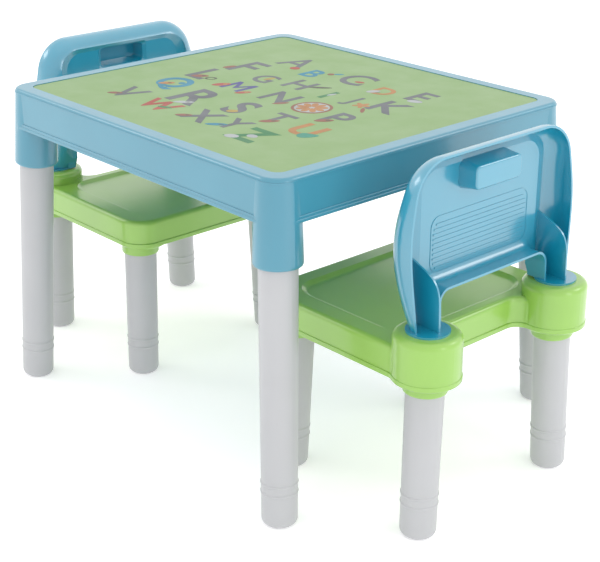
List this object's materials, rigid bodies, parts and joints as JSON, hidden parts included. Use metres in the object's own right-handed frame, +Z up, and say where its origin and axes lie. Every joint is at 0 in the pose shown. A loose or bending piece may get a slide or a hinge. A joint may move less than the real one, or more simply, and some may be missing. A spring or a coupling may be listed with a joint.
{
  "type": "kids table with two chairs",
  "caption": "Moulded plastic play table with a printed panel in a blue frame on round white legs, with small matching chairs that have green dished seats and open-backed blue backrests.",
  "frame": {"origin": "on the floor under the centre of the tabletop", "axes": "+Z up, print on the tabletop reads upright from the -Y side, chair 1 on the +X side facing -X, chair 2 on the -X side facing +X"},
  "size_m": [0.8928, 0.5444, 0.4683],
  "materials": {
    "blue_plastic_table": "satin moulded plastic",
    "printed_panel": "smooth plastic panel with a printed pattern",
    "white_plastic_table": "satin white tube",
    "green_plastic": "satin moulded plastic",
    "blue_plastic_chair": "satin moulded plastic",
    "white_plastic_chair": "satin white tube"
  },
  "bodies": {
    "table": {"table_top": "blue_plastic_table", "table_panel": "printed_panel", "table_leg_1": "white_plastic_table", "table_leg_2": "white_plastic_table", "table_leg_3": "white_plastic_table", "table_leg_4": "white_plastic_table"},
    "chair_1": {"chair_1_seat": "green_plastic", "chair_1_backrest": "blue_plastic_chair", "chair_1_leg_1": "white_plastic_chair", "chair_1_leg_2": "white_plastic_chair", "chair_1_leg_3": "white_plastic_chair", "chair_1_leg_4": "white_plastic_chair"},
    "chair_2": {"chair_2_seat": "green_plastic", "chair_2_backrest": "blue_plastic_chair", "chair_2_leg_1": "white_plastic_chair", "chair_2_leg_2": "white_plastic_chair", "chair_2_leg_3": "white_plastic_chair", "chair_2_leg_4": "white_plastic_chair"}
  },
  "joints": [
    {"name": "chair_1_slide", "type": "slide", "parent": "table", "child": "chair_1", "axis": [1, 0, 0], "range_m": [-0.065, 0.25]},
    {"name": "chair_2_slide", "type": "slide", "parent": "table", "child": "chair_2", "axis": [-1, 0, 0], "range_m": [-0.065, 0.25]}
  ]
}
